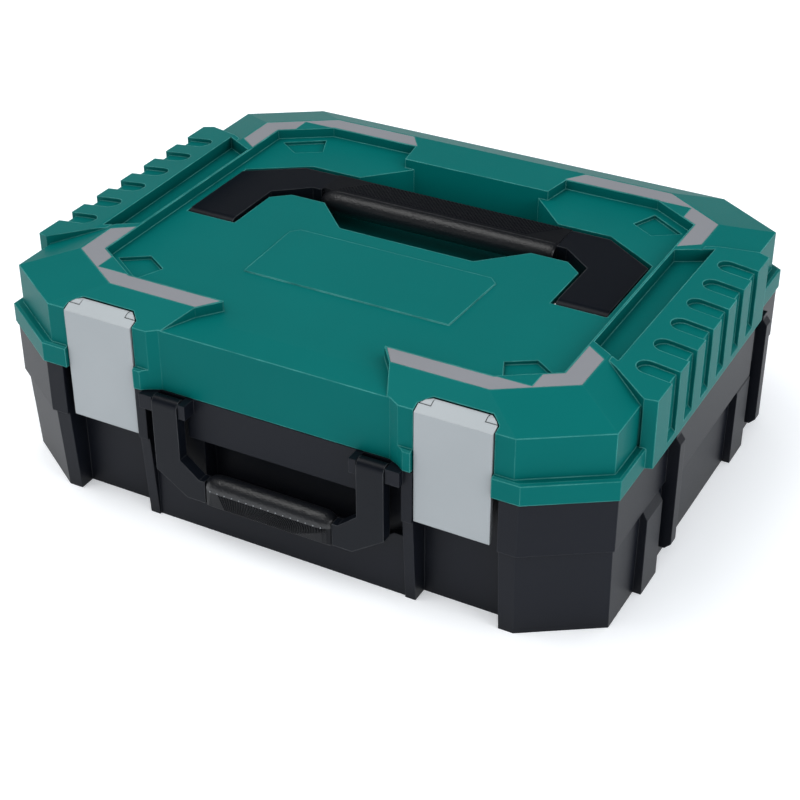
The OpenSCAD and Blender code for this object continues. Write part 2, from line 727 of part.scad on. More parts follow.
// ---- Base ----
module base_cuts(g) {
    for (s = [-1, 1]) scale([s, 1, 1]) {
        // latch bay: shallow channel for the plate, deep below the flange
        box(latch_bay_in - g, latch_bay_out + g, front_y - 40, latch_back + play + g, -1, far);
        box(latch_bay_in - g, latch_bay_out + g, front_y - 40, front_y + latch_bay_depth + g, -1, flange_z + g);
    }
    // front handle bay: a panel above, the deep stretch that the handle lies in, and an apron below
    box(-bay_half - g, bay_half + g, front_y - 40, front_y + front_in + g, hand_z, far);
    box(-bay_half - g, bay_half + g, front_y - 40, front_y + apron_in + g, -1, front_grip_z + front_bend_h);
    difference() {
        translate([0, front_y + bay_depth + g, 0]) rotate([90, 0, 0]) linear_extrude(far) grown(g) polygon(mirrored([
            [front_handle_half - front_bend_w, hand_z],
            [front_handle_half + play, front_grip_z + front_bend_h - apron_gap],
            [bay_half, front_grip_z + front_bend_h - apron_gap], [bay_half, flange_z]]));
        box(-front_leg_in + play + g, front_leg_in - play - g, front_y - 40, far,
            base_top - bay_panel_h + g, far);
    }
    box(-hand_half - g, hand_half + g, front_y - 40, front_y + hand_depth + g,
        hand_z - g, base_top - bay_panel_h + g);
}
// Band under the rib blocks and feet below it, on both side walls; t thins them to their hollow.
module side_forms(t) {
    for (s = [-1, 1]) scale([s, 1, 1]) {
        translate([0, 0, band_low + t]) linear_extrude(band_h - 2 * t) grown(-t) polygon([
            [hw - 12, side_band_y0], [hw + side_band_out, side_band_y0], [hw + side_band_out, side_band_y1 - 7],
            [hw + band_x, side_band_y1], [hw - 12, side_band_y1]]);
        for (y = side_feet) translate([0, y + side_foot_l / 2, 0]) along_y(side_foot_l - 2 * t) grown(-t) polygon([
            [hw - 12, 0], [hw + side_foot_out, 0], [hw + side_foot_out, band_low - 6],
            [hw + band_x, band_low], [hw - 12, band_low]]);
    }
}
module base_outer() {
    loft(case_points(band_x - band_step - draft_x, band_y - band_step - draft_y), 0,
        case_points(band_x - band_step, band_y - band_step), band_low);
    slab(case_points(band_x, band_y), band_low, base_top);
    side_forms(0);
}
module base_shell() {
    lower = case_points(band_x - band_step - draft_x, band_y - band_step - draft_y, wall);
    upper = case_points(band_x - band_step, band_y - band_step, wall);
    color(black)
    difference() {
        union() {
            difference() {
                base_outer();
                difference() {
                    union() {
                        loft(lower, wall + foot_relief, upper, band_low);
                        slab(upper, band_low - 0.01, flange_z);
                        slab(case_points(0, 0, shelf_w), flange_z - 1, far);
                        side_forms(wall);
                    }
                    base_cuts(wall);
                }
                base_cuts(0);
            }
            // sealing tongue
            difference() {
                slab(case_points(0, 0, shelf_w - tongue_t), base_top - 1, base_top + tongue_h);
                slab(case_points(0, 0, shelf_w), base_top - 2, base_top + tongue_h + 1);
            }
            for (s = [-1, 1]) scale([s, 1, 1]) {
                // side fins, with a bevelled foot and a notch at the top
                for (y = side_feet) along_y(fin_t, y + side_foot_l + side_gap + fin_t / 2) polygon([
                    [hw - 1, fin_z], [hw + fin_out - 4, fin_z], [hw + fin_out, fin_z + 4],
                    [hw + fin_out, base_top - 8], [hw + fin_out - 3, base_top - 4],
                    [hw + fin_out - 3, base_top - 1], [hw - 1, base_top - 1]]);
                // lug outside the front handle leg and ear inside it
                box(front_handle_half + play, bay_half + 1, front_py - 4, front_y + bay_depth,
                    front_pz - 6, base_top);
                box(front_leg_in - play - front_ear_t, front_leg_in - play, front_py - 4, front_y + bay_depth,
                    front_pz - 6, base_top);
                // rear knuckles
                for (t = [-1, 1]) {
                    x = hinge_x + t * ((hinge_knuckle + hinge_side) / 2 + play);
                    rod_x(hinge_r, hinge_side, x, hinge_y, hinge_z);
                    along_x(hinge_side, x) polygon([[hinge_y, hinge_z - 1], [hinge_y + hinge_r - 0.1, hinge_z - 1],
                        [hd + band_y - 1, hinge_z - 16], [hd - 1, hinge_z - 16], [hd - 1, base_top]]);
                }
            }
        }
        // relief under the floor
        loft(case_points(0, 0, 26), -1, case_points(0, 0, 24), foot_relief);
        for (s = [-1, 1]) scale([s, 1, 1]) {
            rod_x(front_pin_r, front_pin_l, front_pin_x, front_py, front_pz);
            rod_x(hinge_pin_r, hinge_knuckle + 2 * hinge_side + 2 * play - 4, hinge_x, hinge_y, hinge_z);
            rod_x(hinge_r + play, hinge_knuckle + 2 * play, hinge_x, hinge_y, hinge_z);
        }
    }
}
module rear_hinge_pin() {
    color(steel) rod_x(hinge_pin_r, hinge_knuckle + 2 * hinge_side + 2 * play - 4, hinge_x, hinge_y, hinge_z);
}

// ---- Tray ----
module tray_outline(g = 0) {
    intersection() {
        polygon(case_points(0, 0, tray_in + g));
        translate([-far, front_y + tray_front + g]) square([2 * far, far]);
    }
}
// Pockets for every tool; g grows them into their own walls.
module tray_pockets(g) {
    for (r = [0:1], i = [0:len(socket_sizes[r]) - 1])
        translate([run_x(socket_sizes[r], i, row_x0), row_y[r], tool_z - socket_h - g])
            cylinder(d = socket_d(socket_sizes[r][i]) + 2 * (tool_gap + g), h = far, $fn = 48);
    for (i = [0:len(deep_sizes) - 1])
        translate([run_x(deep_sizes, i, deep_x0), deep_y, tool_z - deep_h - g])
            cylinder(d = socket_d(deep_sizes[i]) + 2 * (tool_gap + g), h = far, $fn = 48);
    // ratchet: head well, shank and grip trench
    translate([ratchet_x, ratchet_y, ratchet_top - ratchet_t - g])
        cylinder(r = ratchet_r + tool_gap + g, h = far, $fn = 64);
    translate([ratchet_x, ratchet_y, ratchet_top - ratchet_t - drive_depth - 4 - g])
        cylinder(r = 12 + g, h = far, $fn = 48);
    trench(ratchet_x, ratchet_x + ratchet_l, ratchet_y, ratchet_mid, ratchet_grip_r, g);
    trench(long_x0, long_x0 + long_bar, long_y, bar_z, bar_r + 3, g);
    trench(short_x0, short_x0 + short_bar, short_y, bar_z, bar_r + 3, g);
    trench(tee_x - tee_l / 2, tee_x + tee_l / 2, tee_y, bar_z, tee_r, g);
    box(tee_x - tee_travel - 12 - tool_gap - g, tee_x + tee_travel + 12 + tool_gap + g,
        tee_y - 12 - tool_gap - g, tee_y + 12 + tool_gap + g, bar_z - 12 - drive_depth - 2 - g, far);
    trench(spinner_x0, spinner_x0 + spinner_l, spinner_y, bar_z, spinner_r, g);
}
module trench(x0, x1, y, z, r, g) {
    box(x0 - tool_gap - g, x1 + tool_gap + g, y - r - tool_gap - g, y + r + tool_gap + g, z - r - 0.3 - g, far);
}
module tool_tray() {
    color(black)
    difference() {
        union() {
            // top sheet and skirt
            difference() {
                translate([0, 0, wall + foot_relief]) linear_extrude(tray_top - wall - foot_relief) tray_outline();
                translate([0, 0, -1]) linear_extrude(tray_top - tray_t + 1) tray_outline(tray_t);
            }
            intersection() {
                tray_pockets(tray_t);
                translate([0, 0, wall + foot_relief + 0.5])
                    linear_extrude(tray_top - wall - foot_relief - 0.5) tray_outline(0);
            }
        }
        tray_pockets(0);
    }
}

// ---- Sockets ----
module socket(af, h) {
    d = socket_d(af);
    color(steel)
    difference() {
        rotate_extrude($fn = 64) polygon([
            [0, 0], [d / 2 - 0.8, 0], [d / 2, 0.8], [d / 2, h * 0.42], [d / 2 - 0.7, h * 0.42 + 1],
            [d / 2 - 0.7, h - 0.8], [d / 2 - 1.5, h], [0, h]]);
        translate([0, 0, h * 0.5]) cylinder(r = af / sqrt(3) + 0.1, h = h, $fn = 6);
        translate([0, 0, -1]) linear_extrude(h * 0.4 + 1) square(min(drive, d * 0.62), center = true);
        translate([0, 0, h * 0.3]) cylinder(d = af * 0.62, h = h, $fn = 32);
    }
}
module standard_socket(r, i) {
    translate([run_x(socket_sizes[r], i, row_x0), row_y[r], tool_z - socket_h])
        socket(socket_sizes[r][i], socket_h);
}
module deep_socket(i) {
    translate([run_x(deep_sizes, i, deep_x0), deep_y, tool_z - deep_h]) socket(deep_sizes[i], deep_h);
}

// ---- Ratchet ----
module ratchet_frame() { translate([ratchet_x, ratchet_y, ratchet_mid]) children(); }
module ratchet_body() {
    hh = ratchet_t / 2;
    color(steel) ratchet_frame()
    difference() {
        union() {
            translate([0, 0, -hh]) cylinder(r = ratchet_r, h = ratchet_t, $fn = 96);
            // neck that runs from the head into the shank
            intersection() {
                linear_extrude(ratchet_t, center = true) polygon([[0, -ratchet_r + 2], [26, -7.5],
                    [90, -6.5], [90, 6.5], [26, 7.5], [0, ratchet_r - 2]]);
                along_y(far) polygon([[0, -hh], [14, -hh], [34, -6.5], [90, -6.5], [90, 6.5], [34, 6.5],
                    [14, hh], [0, hh]]);
            }
            rod_x(5, 130, 90 + 60, 0, 0);
        }
        // chamber for gear and pawl, mouth for the drive below and seat for the cover above
        translate([0, 0, -gear_h / 2 - 0.4]) cylinder(r = gear_r + 0.5, h = gear_h + 0.8, $fn = 96);
        translate([0, 0, -hh - 1]) cylinder(r = 9.05, h = ratchet_t, $fn = 64);
        box(8, 16.5, -6, 6, -gear_h / 2 - 0.4, gear_h / 2 + 0.4);
        translate([0, 0, gear_h / 2]) cylinder(r = gear_r + 0.5, h = ratchet_t, $fn = 96);
        translate([0, 0, hh - 1.6]) cylinder(r = 13.5, h = 3, $fn = 96);
        translate([13, 0, hh - 1.6]) cylinder(r = 3.5, h = 3, $fn = 48);
        translate([13, 0, 0]) cylinder(r = 2.05, h = far, $fn = 32);
        for (s = [-1, 1]) translate([0, s * 12, hh - 5]) cylinder(r = 0.95, h = 9, $fn = 24);
    }
}
module ratchet_cover() {
    hh = ratchet_t / 2;
    color(steel) ratchet_frame()
    difference() {
        translate([0, 0, hh - 1.6]) cylinder(r = 13.5, h = 1.6, $fn = 96);
        translate([0, 0, hh - 3]) cylinder(r = 5.3, h = 6, $fn = 48);
        translate([13, 0, hh - 3]) cylinder(r = 3.7, h = 6, $fn = 48);
        for (s = [-1, 1]) translate([0, s * 12, hh - 3]) cylinder(r = 0.95, h = 6, $fn = 24);
    }
}
module ratchet_cover_screws() {
    hh = ratchet_t / 2;
    color(steel) ratchet_frame()
    for (s = [-1, 1]) translate([0, s * 12, 0]) {
        translate([0, 0, hh - 5]) cylinder(r = 0.95, h = 5, $fn = 24);
        translate([0, 0, hh]) cylinder(r = 1.3, h = 0.8, $fn = 24);
    }
}
module ratchet_drive() {
    hh = ratchet_t / 2;
    color(steel) ratchet_frame()
    difference() {
        union() {
            linear_extrude(gear_h, center = true) union() {
                circle(r = gear_r - 1.2, $fn = 96);
                for (i = [0:gear_teeth - 1]) rotate(i * 360 / gear_teeth)
                    polygon([[gear_r - 1.8, -1], [gear_r, -0.25], [gear_r, 0.25], [gear_r - 1.8, 1]]);
            }
            translate([0, 0, -hh - 1]) cylinder(r = 9, h = hh, $fn = 64);
            translate([0, 0, 0]) cylinder(r = 5, h = hh + 0.6, $fn = 48);
            translate([0, 0, -hh - drive_depth + 1]) linear_extrude(drive_depth) square(drive, center = true);
        }
        translate([0, 0, 1]) cylinder(r = 3.05, h = far, $fn = 48);
    }
}
module ratchet_pawl() {
    color(steel) ratchet_frame()
    difference() {
        box(gear_r + 0.6 - 1, 16.2, -5.7, 5.7, -gear_h / 2, gear_h / 2);
        translate([0, 0, -far / 2]) cylinder(r = gear_r + 0.4, h = far, $fn = 96);
        translate([13, 0, 0]) cylinder(r = 2.35, h = far, $fn = 32);
    }
}
module ratchet_lever() {
    hh = ratchet_t / 2;
    color(steel) ratchet_frame() translate([13, 0, 0]) {
        translate([0, 0, 0.3]) cylinder(r = 2, h = hh, $fn = 32);
        translate([0, 0, hh - 1.6 + 0.3]) cylinder(r = 3.3, h = 1.6, $fn = 48);
        translate([0, 0, hh + 0.3]) linear_extrude(2) union() {
            circle(r = 3.3, $fn = 48);
            polygon([[0, -3.2], [9, -2], [10, 0], [9, 2], [0, 3.2]]);
        }
    }
}
module ratchet_release_button() {
    hh = ratchet_t / 2;
    color(steel) ratchet_frame() translate([0, 0, 4]) cylinder(r = 3, h = hh - 4 + 3, $fn = 48);
}
module ratchet_grip() {
    start = 90;
    color(grip_green) ratchet_frame()
    difference() {
        rotate([0, 90, 0]) rotate_extrude($fn = 64) polygon([
            [0, start], [8, start], [9.5, start + 4], [9.5, start + 9], [8.2, start + 12],
            [10.5, start + 22], [ratchet_grip_r, start + 50], [ratchet_grip_r, ratchet_l - 42],
            [10.6, ratchet_l - 28], [ratchet_grip_r, ratchet_l - 16], [ratchet_grip_r, ratchet_l - 4],
            [9, ratchet_l], [0, ratchet_l]]);
        rod_x(5, 130, 90 + 60, 0, 0);
    }
}

// ---- Bars ----
module extension_bar(l) {
    r = bar_r + 3;
    color(steel)
    difference() {
        union() {
            rotate([0, 90, 0]) rotate_extrude($fn = 64) polygon([
                [0, 0], [r - 0.8, 0], [r, 0.8], [r, 22], [bar_r, 27], [bar_r, l - 18], [0, l - 18]]);
            translate([l - 19, 0, 0]) rotate([0, 90, 0]) linear_extrude(19) square(drive - 1, center = true);
        }
        translate([-1, 0, 0]) rotate([0, 90, 0]) linear_extrude(drive_depth + 1) square(drive, center = true);
    }
}
module tee_bar() {
    color(steel)
    difference() {
        translate([tee_x - tee_l / 2, tee_y, bar_z]) rotate([0, 90, 0]) rotate_extrude($fn = 48) polygon([
            [0, 0], [tee_r - 1, 0], [tee_r, 1], [tee_r, tee_l - 1], [tee_r - 1, tee_l], [0, tee_l]]);
        // ball grooves near both ends
        for (s = [-1, 1]) translate([tee_x + s * (tee_l / 2 - 8), tee_y, bar_z]) rotate([0, 90, 0])
            rotate_extrude($fn = 48) translate([tee_r + 0.4, 0]) circle(r = 0.9, $fn = 24);
    }
}
module tee_bar_head() {
    color(steel)
    difference() {
        translate([tee_x, tee_y, bar_z]) union() {
            translate([0, 0, -12]) cylinder(r = 12, h = 22, $fn = 64);
            translate([0, 0, -12 - drive_depth]) linear_extrude(drive_depth + 1) square(drive, center = true);
        }
        rod_x(tee_r + pin_play, 30, tee_x, tee_y, bar_z);
    }
}
module spinner_shaft() {
    color(steel) translate([spinner_x0, spinner_y, bar_z]) {
        rod_x(4, 50, spinner_l - 26 - 12, 0, 0);
        rod_x(4, 60, 70, 0, 0);
        translate([spinner_l - 16, 0, 0]) rotate([0, 90, 0]) linear_extrude(16) square(6.35, center = true);
    }
}
module spinner_grip() {
    end = 96;
    color(grip_green) translate([spinner_x0, spinner_y, bar_z])
    difference() {
        rotate([0, 90, 0]) rotate_extrude($fn = 64) polygon([
            [0, 0], [9, 0], [spinner_r - 1, 5], [spinner_r, 14], [spinner_r, 50], [spinner_r - 1.5, 62],
            [9.5, 74], [9, 82], [11.5, 90], [11, end], [0, end]]);
        for (i = [0:5]) rotate([60 * i, 0, 0]) translate([32, 0, spinner_r + 2])
            rotate([0, 90, 0]) cylinder(r = 4, h = 46, center = true, $fn = 32);
        rod_x(4, 60, 70, 0, 0);
    }
}

base_shell();
lid_shell();
mirror([1, 0, 0]) corner_stripe();  // corner_stripe_front_left
corner_stripe();  // corner_stripe_front_right
mirror([0, 1, 0]) mirror([1, 0, 0]) corner_stripe();  // corner_stripe_back_left
mirror([0, 1, 0]) corner_stripe();  // corner_stripe_back_right
translate([-latch_x, 0, 0]) latch();  // latch_left
translate([latch_x, 0, 0]) latch();  // latch_right
translate([-latch_x, 0, 0]) latch_pin();  // latch_pin_left
translate([latch_x, 0, 0]) latch_pin();  // latch_pin_right
translate([-latch_x, 0, 0]) latch_bracket();  // latch_bracket_left
translate([latch_x, 0, 0]) latch_bracket();  // latch_bracket_right
mirror([1, 0, 0]) rear_hinge_pin();  // rear_hinge_pin_left
rear_hinge_pin();  // rear_hinge_pin_right
top_handle_frame();
top_handle_grip();
mirror([1, 0, 0]) top_handle_pin();  // top_handle_pin_left
top_handle_pin();  // top_handle_pin_right
front_handle_frame();
front_handle_grip();
mirror([1, 0, 0]) front_handle_pin();  // front_handle_pin_left
front_handle_pin();  // front_handle_pin_right
tool_tray();
ratchet_body();
ratchet_grip();
ratchet_cover();
ratchet_cover_screws();
ratchet_drive();
ratchet_pawl();
ratchet_lever();
ratchet_release_button();
translate([long_x0, long_y, bar_z]) extension_bar(long_bar);  // extension_bar_long
translate([short_x0, short_y, bar_z]) extension_bar(short_bar);  // extension_bar_short
tee_bar();
tee_bar_head();
spinner_shaft();
spinner_grip();
for (r = [0:1], i = [0:len(socket_sizes[r]) - 1])
    standard_socket(r, i);
for (i = [0:len(deep_sizes) - 1])
    deep_socket(i);
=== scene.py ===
# Socket wrench set in a two-part moulded case: its looks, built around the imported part. Metres.
import math

import bmesh
import bpy
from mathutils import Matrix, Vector


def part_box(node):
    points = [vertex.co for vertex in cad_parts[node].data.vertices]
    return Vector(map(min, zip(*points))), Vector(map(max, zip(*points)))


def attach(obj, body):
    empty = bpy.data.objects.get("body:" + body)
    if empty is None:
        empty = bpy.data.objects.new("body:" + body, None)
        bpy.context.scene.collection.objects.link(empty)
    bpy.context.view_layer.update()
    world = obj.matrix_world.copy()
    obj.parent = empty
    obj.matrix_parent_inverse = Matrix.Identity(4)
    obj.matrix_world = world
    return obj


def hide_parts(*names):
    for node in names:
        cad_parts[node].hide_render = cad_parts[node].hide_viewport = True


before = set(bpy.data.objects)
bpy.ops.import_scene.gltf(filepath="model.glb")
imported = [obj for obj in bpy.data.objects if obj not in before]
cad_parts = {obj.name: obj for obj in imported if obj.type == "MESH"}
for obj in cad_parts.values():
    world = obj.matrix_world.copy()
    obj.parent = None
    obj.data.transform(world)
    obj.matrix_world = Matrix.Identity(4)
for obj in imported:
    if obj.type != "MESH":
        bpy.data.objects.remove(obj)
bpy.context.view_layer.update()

# ---- Studio ----
# The case stands on a pale floor that runs out to white, under a large soft lamp above its left side,
# with a low wide one in front and a square one on the right. The camera looks down on the front right.
scene = bpy.context.scene
camera_azimuth = math.radians(28.285)
camera_elevation = math.radians(32.544)
camera_place = (0.49123, -0.91814, 0.68637)
lens_mm = 79.571
sensor_mm = 36.0
near_end = 0.05
far_end = 20.0

camera_data = bpy.data.cameras.new("studio_camera")
camera_data.lens = lens_mm
camera_data.sensor_width = sensor_mm
camera_data.clip_start = near_end
camera_data.clip_end = far_end
camera = bpy.data.objects.new("studio_camera", camera_data)
camera.location = camera_place
camera.rotation_euler = (math.pi / 2 - camera_elevation, 0.0, camera_azimuth)
scene.collection.objects.link(camera)
scene.camera = camera
scene.view_settings.view_transform = "Standard"


def soft_lamp(name, place, target, width, depth, watts, colour):
    """A rectangular soft box that looks at one point."""
    data = bpy.data.lights.new(name, "AREA")
    data.shape = "RECTANGLE"
    data.size = width
    data.size_y = depth
    data.energy = watts
    data.color = colour
    lamp = bpy.data.objects.new(name, data)
    lamp.location = place
    lamp.rotation_euler = (Vector(target) - Vector(place)).to_track_quat("-Z", "Y").to_euler()
    scene.collection.objects.link(lamp)


warm_white = (1.0, 0.995, 0.98)
cool_white = (0.98, 0.99, 1.0)
soft_lamp("lamp_above", (-0.7, -0.35, 1.9), (0, 0, 0.08), width=1.2, depth=1.2, watts=12.0, colour=warm_white)
soft_lamp("lamp_front", (0.3, -1.3, 1.7), (0, 0, 0.1), width=1.4, depth=0.25, watts=3.2, colour=cool_white)
soft_lamp("lamp_right", (1.7, -0.5, 0.9), (0, 0, 0.1), width=0.8, depth=0.8, watts=8.0, colour=cool_white)


def arithmetic(tree, operation, *values):
    """One sum on sockets or plain numbers."""
    node = tree.nodes.new("ShaderNodeMath")
    node.operation = operation
    for i, value in enumerate(values):
        if isinstance(value, float):
            node.inputs[i].default_value = value
        else:
            tree.links.new(value, node.inputs[i])
    return node.outputs[0]


def seen_directly(tree):
    """1 for rays from the camera, mirrors and glass, 0 for rays that only carry light."""
    path = tree.nodes.new("ShaderNodeLightPath")
    mirrored = arithmetic(tree, "MAXIMUM", path.outputs["Is Camera Ray"], path.outputs["Is Glossy Ray"])
    return arithmetic(tree, "MAXIMUM", mirrored, path.outputs["Is Transmission Ray"])


ambient_level = 0.78
ambient_colour = (0.94, 0.97, 1.0, 1.0)
backdrop_top = 0.02
horizon_low = 0.05
horizon_high = 0.35
world = bpy.data.worlds.new("studio_world")
scene.world = world
world.use_nodes = True
world_tree = world.node_tree
world_tree.nodes.clear()
ambient = world_tree.nodes.new("ShaderNodeBackground")
ambient.inputs["Color"].default_value = ambient_colour
ambient.inputs["Strength"].default_value = ambient_level
backdrop = world_tree.nodes.new("ShaderNodeBackground")
direction = world_tree.nodes.new("ShaderNodeTexCoord")
height = world_tree.nodes.new("ShaderNodeSeparateXYZ")
fall = world_tree.nodes.new("ShaderNodeMapRange")
fall.interpolation_type = "SMOOTHSTEP"
fall.inputs["From Min"].default_value = horizon_low
fall.inputs["From Max"].default_value = horizon_high
fall.inputs["To Min"].default_value = 1.0
fall.inputs["To Max"].default_value = backdrop_top
world_tree.links.new(direction.outputs["Generated"], height.inputs[0])
world_tree.links.new(height.outputs["Z"], fall.inputs["Value"])
world_tree.links.new(fall.outputs["Result"], backdrop.inputs["Color"])
choose = world_tree.nodes.new("ShaderNodeMixShader")
world_out = world_tree.nodes.new("ShaderNodeOutputWorld")
world_tree.links.new(seen_directly(world_tree), choose.inputs[0])
world_tree.links.new(ambient.outputs[0], choose.inputs[1])
world_tree.links.new(backdrop.outputs[0], choose.inputs[2])
world_tree.links.new(choose.outputs[0], world_out.inputs["Surface"])

floor_half = 6.0
floor_glow = 0.25
paper_in_light = (0.60, 0.61, 0.63, 1.0)
paper_in_view = (0.985, 0.99, 1.0, 1.0)
glow_colour = (0.95, 0.97, 1.0, 1.0)
floor_mesh = bpy.data.meshes.new("studio_floor")
floor_mesh.from_pydata([(-floor_half, -floor_half, 0), (floor_half, -floor_half, 0),
                        (floor_half, floor_half, 0), (-floor_half, floor_half, 0)], [], [(0, 1, 2, 3)])
floor = bpy.data.objects.new("studio_floor", floor_mesh)
scene.collection.objects.link(floor)
paper = bpy.data.materials.new("floor_paper")
paper.use_nodes = True
paper_tree = paper.node_tree
paper_tree.nodes.clear()
paper_tone = paper_tree.nodes.new("ShaderNodeMix")
paper_tone.data_type = "RGBA"
paper_tone.inputs["A"].default_value = paper_in_light
paper_tone.inputs["B"].default_value = paper_in_view
paper_face = paper_tree.nodes.new("ShaderNodeBsdfDiffuse")
paper_glow = paper_tree.nodes.new("ShaderNodeEmission")
paper_glow.inputs["Color"].default_value = glow_colour
paper_glow.inputs["Strength"].default_value = floor_glow
paper_sum = paper_tree.nodes.new("ShaderNodeAddShader")
paper_out = paper_tree.nodes.new("ShaderNodeOutputMaterial")
paper_tree.links.new(seen_directly(paper_tree), paper_tone.inputs["Factor"])
paper_tree.links.new(paper_tone.outputs["Result"], paper_face.inputs["Color"])
paper_tree.links.new(paper_face.outputs[0], paper_sum.inputs[0])
paper_tree.links.new(paper_glow.outputs[0], paper_sum.inputs[1])
paper_tree.links.new(paper_sum.outputs[0], paper_out.inputs["Surface"])
floor_mesh.materials.append(paper)

# ---- Lower shell ----
# The tub is one injection moulding in black polypropylene with a fine spark-eroded skin. Its edges
# come out of the tool slightly rounded and are painted a paler grey, partly as wear and partly as painted
# highlight.


def mottle(tree, place, scale, detail):
    """Soft noise that stays fixed to the piece."""
    noise = tree.nodes.new("ShaderNodeTexNoise")
    noise.inputs["Scale"].default_value = scale
    noise.inputs["Detail"].default_value = detail
    tree.links.new(place.outputs["Object"], noise.inputs["Vector"])
    return noise


def stretched(tree, value, from_low, from_high, to_low, to_high):
    """Carries a value from one range to another and holds it at the ends."""
    scale = tree.nodes.new("ShaderNodeMapRange")
    scale.inputs["From Min"].default_value = from_low
    scale.inputs["From Max"].default_value = from_high
    scale.inputs["To Min"].default_value = to_low
    scale.inputs["To Max"].default_value = to_high
    tree.links.new(value, scale.inputs["Value"])
    return scale.outputs["Result"]


def rounded_edges(tree, radius, samples):
    """Normals that are rounded over at the edges."""
    bevel = tree.nodes.new("ShaderNodeBevel")
    bevel.samples = samples
    bevel.inputs["Radius"].default_value = radius
    return bevel.outputs["Normal"]


def rough_skin(tree, height, depth, normal):
    """Normals with a fine relief on top."""
    bump = tree.nodes.new("ShaderNodeBump")
    bump.inputs["Distance"].default_value = depth
    tree.links.new(height, bump.inputs["Height"])
    tree.links.new(normal, bump.inputs["Normal"])
    return bump.outputs["Normal"]


def moulded_plastic(name, colour, edge_wear_and_highlight, roughness, grain, grain_depth, edge, edge_wear_and_highlight_share=0.5, shine=0.25):
    """Moulded plastic: fine pebbled skin, faint drift, rounded edges painted paler (partly wear, partly
    painted highlight), painted shade in deep hollows.
    """
    drift_scale = 14.0
    drift_share = 0.07
    patch_scale = 60.0
    edge_wear_and_highlight_turn = 0.75
    painted_shade_reach = 0.025
    painted_shade_tone = 0.4
    made = bpy.data.materials.new(name)
    made.use_nodes = True
    tree = made.node_tree
    shader = tree.nodes["Principled BSDF"]
    shader.inputs["Specular IOR Level"].default_value = shine
    place = tree.nodes.new("ShaderNodeTexCoord")

    normal = rounded_edges(tree, edge, 4)
    flat = tree.nodes.new("ShaderNodeNewGeometry")
    turn = tree.nodes.new("ShaderNodeVectorMath")
    turn.operation = "DOT_PRODUCT"
    tree.links.new(normal, turn.inputs[0])
    tree.links.new(flat.outputs["Normal"], turn.inputs[1])
    # Edges painted paler: partly wear, partly a painted highlight where the rounded edges would catch light.
    rim = stretched(tree, turn.outputs["Value"], 1.0, edge_wear_and_highlight_turn, 0.0, edge_wear_and_highlight_share)
    patches = mottle(tree, place, patch_scale, 4.0)
    uneven = stretched(tree, patches.outputs["Fac"], 0.3, 0.6, 0.35, 1.0)

    tone = tree.nodes.new("ShaderNodeMix")
    tone.data_type = "RGBA"
    tone.inputs["A"].default_value = (*[c * (1 - drift_share) for c in colour], 1.0)
    tone.inputs["B"].default_value = (*[c * (1 + drift_share) for c in colour], 1.0)
    drift = mottle(tree, place, drift_scale, 3.0)
    tree.links.new(drift.outputs["Fac"], tone.inputs["Factor"])
    skin = tree.nodes.new("ShaderNodeMix")
    skin.data_type = "RGBA"
    skin.inputs["B"].default_value = (*edge_wear_and_highlight, 1.0)
    tree.links.new(arithmetic(tree, "MULTIPLY", rim, uneven), skin.inputs["Factor"])
    tree.links.new(tone.outputs["Result"], skin.inputs["A"])

    # Painted shade: the colour is darkened in deep hollows and crevices, where shade falls.
    painted_shade = tree.nodes.new("ShaderNodeAmbientOcclusion")
    painted_shade.samples = 3
    painted_shade.inputs["Distance"].default_value = painted_shade_reach
    shaded = tree.nodes.new("ShaderNodeMix")
    shaded.data_type = "RGBA"
    shaded.blend_type = "MULTIPLY"
    shaded.inputs["Factor"].default_value = 1.0
    tree.links.new(skin.outputs["Result"], shaded.inputs["A"])
    tree.links.new(stretched(tree, painted_shade.outputs["AO"], 0.2, 0.8, painted_shade_tone, 1.0), shaded.inputs["B"])
    tree.links.new(shaded.outputs["Result"], shader.inputs["Base Color"])

    pebbles = mottle(tree, place, 1.0 / grain, 2.0)
    pebbles.inputs["Roughness"].default_value = 0.6
    tree.links.new(rough_skin(tree, pebbles.outputs["Fac"], grain_depth, normal), shader.inputs["Normal"])
    gloss = stretched(tree, pebbles.outputs["Fac"], 0.0, 1.0, roughness - 0.05, roughness + 0.07)
    tree.links.new(gloss, shader.inputs["Roughness"])
    return made


def dress(finish, *names):
    """Gives CAD nodes their finish."""
    for name in names:
        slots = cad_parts[name].data.materials
        if len(slots) == 0:
            slots.append(finish)
        for i in range(len(slots)):
            slots[i] = finish


black_shell = moulded_plastic("black_shell", colour=(0.0054, 0.0069, 0.0118), edge_wear_and_highlight=(0.09, 0.10, 0.115),
                              roughness=0.42, grain=0.0006, grain_depth=0.00004, edge=0.0009,
                              edge_wear_and_highlight_share=0.35, shine=0.16)
dress(black_shell, "base_shell")

# ---- Lid ----
# The lid is moulded in green polypropylene with the same skin. Raised rim, rib blocks, handle recess
# and latch notches are all part of the one moulding.
# The pale mint on the lid's edges is partly wear and partly painted highlight; its hollows carry painted
# shade.
green_shell = moulded_plastic("green_shell", colour=(0.0, 0.142, 0.133), edge_wear_and_highlight=(0.14, 0.56, 0.52),
                              roughness=0.42, grain=0.0006, grain_depth=0.00004, edge=0.0012,
                              edge_wear_and_highlight_share=1.0, shine=0.06)
dress(green_shell, "lid_shell")

# ---- Corner stripes ----
# Four flat bent inlays at the corners of the lid's raised rim. They are moulded in warm grey plastic
# and pressed into shallow grooves.
grey_inlay = moulded_plastic("grey_inlay", colour=(0.25, 0.255, 0.275), edge_wear_and_highlight=(0.45, 0.45, 0.46),
                             roughness=0.5, grain=0.0005, grain_depth=0.00004, edge=0.0004)
dress(grey_inlay, "corner_stripe_front_left", "corner_stripe_front_right",
      "corner_stripe_back_left", "corner_stripe_back_right")

